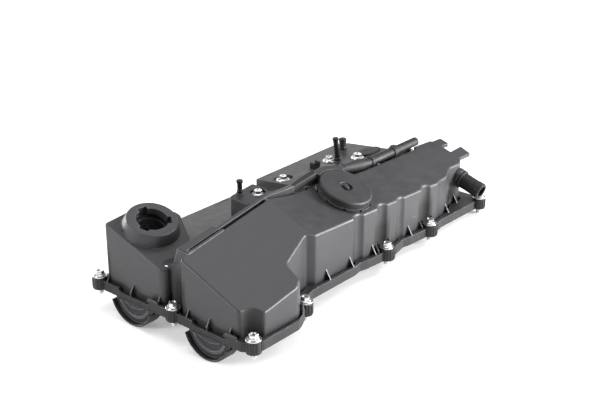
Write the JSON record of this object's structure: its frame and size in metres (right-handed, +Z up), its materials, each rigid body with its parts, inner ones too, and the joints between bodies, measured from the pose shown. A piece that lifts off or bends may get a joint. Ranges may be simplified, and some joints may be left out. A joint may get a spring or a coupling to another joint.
{
  "type": "engine valve cover",
  "caption": "Moulded engine valve cover with raised side dome, filler neck, flange bolts, pressure valve and breather pipes.",
  "frame": {"origin": "On the sealing plane of the moulded flange, between the ends of the cover and over the row of coil wells.", "axes": "+Z up from the sealing plane, +X along the engine from the filler end to the breather end, +Y from the raised dome side to the low deck side."},
  "size_m": [0.5209, 0.2624, 0.1366],
  "materials": {
    "shell_plastic": "satin dark charcoal glass-filled moulding",
    "gasket_rubber": "moulded sealing rubber",
    "soft_rubber": "soft black rubber",
    "zinc_steel": "bright zinc plated steel",
    "plain_steel": "plain steel",
    "spring_steel": "drawn stainless wire",
    "black_plastic": "black moulded plastic",
    "grey_plastic": "dark grey moulded plastic",
    "tube_plastic": "black extruded plastic",
    "cap_plastic": "satin black moulded plastic"
  },
  "bodies": {
    "cover": {"cover_shell": "shell_plastic", "perimeter_gasket": "gasket_rubber", "moon_seals": "gasket_rubber", "coil_well_seal_1": "gasket_rubber", "coil_well_seal_2": "gasket_rubber", "coil_well_seal_3": "gasket_rubber", "coil_well_seal_4": "gasket_rubber", "flange_bolts": "zinc_steel", "bolt_washers": "zinc_steel", "bolt_grommets": "soft_rubber", "bolt_sleeves": "plain_steel", "inner_bolts": "zinc_steel", "inner_washers": "zinc_steel", "front_ball_stud": "black_plastic", "rear_ball_stud": "black_plastic", "rubber_stud": "soft_rubber", "cable_clip": "black_plastic", "deck_cover": "black_plastic", "breather_tube": "tube_plastic", "tube_end_plug": "black_plastic", "tube_collars": "grey_plastic", "tube_adaptor": "grey_plastic", "connector_hose": "soft_rubber", "ridge_seal": "soft_rubber", "valve_cap": "cap_plastic", "valve_diaphragm": "soft_rubber", "valve_spring": "spring_steel", "breather_nipple": "tube_plastic", "nipple_seal": "gasket_rubber", "separator_baffle": "black_plastic", "baffle_screws": "plain_steel"},
    "valve_piston": {"valve_plate": "plain_steel", "valve_hub": "black_plastic"}
  },
  "joints": [
    {"name": "valve_travel", "type": "slide", "parent": "cover", "child": "valve_piston", "axis": [0.0464, -0.371, 0.9275], "range_m": [-0.004, 0], "stiffness_N_per_m": 60, "springref_m": 0.004, "deforming": ["valve_spring", "valve_diaphragm"]}
  ]
}
